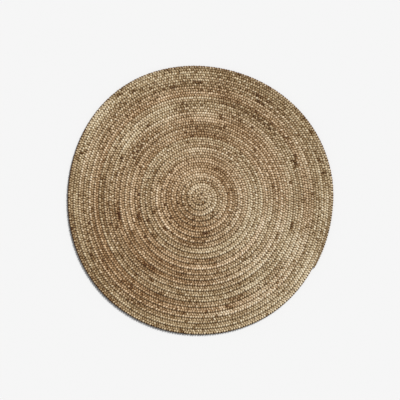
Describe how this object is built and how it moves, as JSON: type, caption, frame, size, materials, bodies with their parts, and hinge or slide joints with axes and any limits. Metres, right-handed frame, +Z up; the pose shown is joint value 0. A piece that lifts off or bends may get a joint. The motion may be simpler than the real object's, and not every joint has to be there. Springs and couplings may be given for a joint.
{
  "type": "round braided rug",
  "caption": "Round area rug made of a jute plait wound into a flat spiral and sewn turn to turn, with a tucked start at its eye and a tapered outer end.",
  "frame": {"origin": "on the underside, at the middle of the outline of the whole coil", "axes": "+Z up from the floor through the rug; seen from above, the outer end of the plait lies 31 degrees clockwise from +X and the plait winds outward clockwise"},
  "size_m": [1.1944, 1.2061, 0.01],
  "materials": {
    "jute_plait": "matte natural jute, three-strand plait with a slight fibre sheen",
    "seam_thread": "matte twisted sewing thread",
    "tack_thread": "matte twisted jute twine"
  },
  "bodies": {
    "root": {"braid_length_01": "jute_plait", "braid_length_02": "jute_plait", "braid_length_03": "jute_plait", "braid_length_04": "jute_plait", "braid_length_05": "jute_plait", "braid_length_06": "jute_plait", "braid_length_07": "jute_plait", "braid_length_08": "jute_plait", "braid_length_09": "jute_plait", "braid_length_10": "jute_plait", "braid_length_11": "jute_plait", "braid_length_12": "jute_plait", "needle_thread": "seam_thread", "bobbin_thread": "seam_thread", "centre_tack": "tack_thread", "end_tack": "tack_thread"}
  },
  "joints": []
}
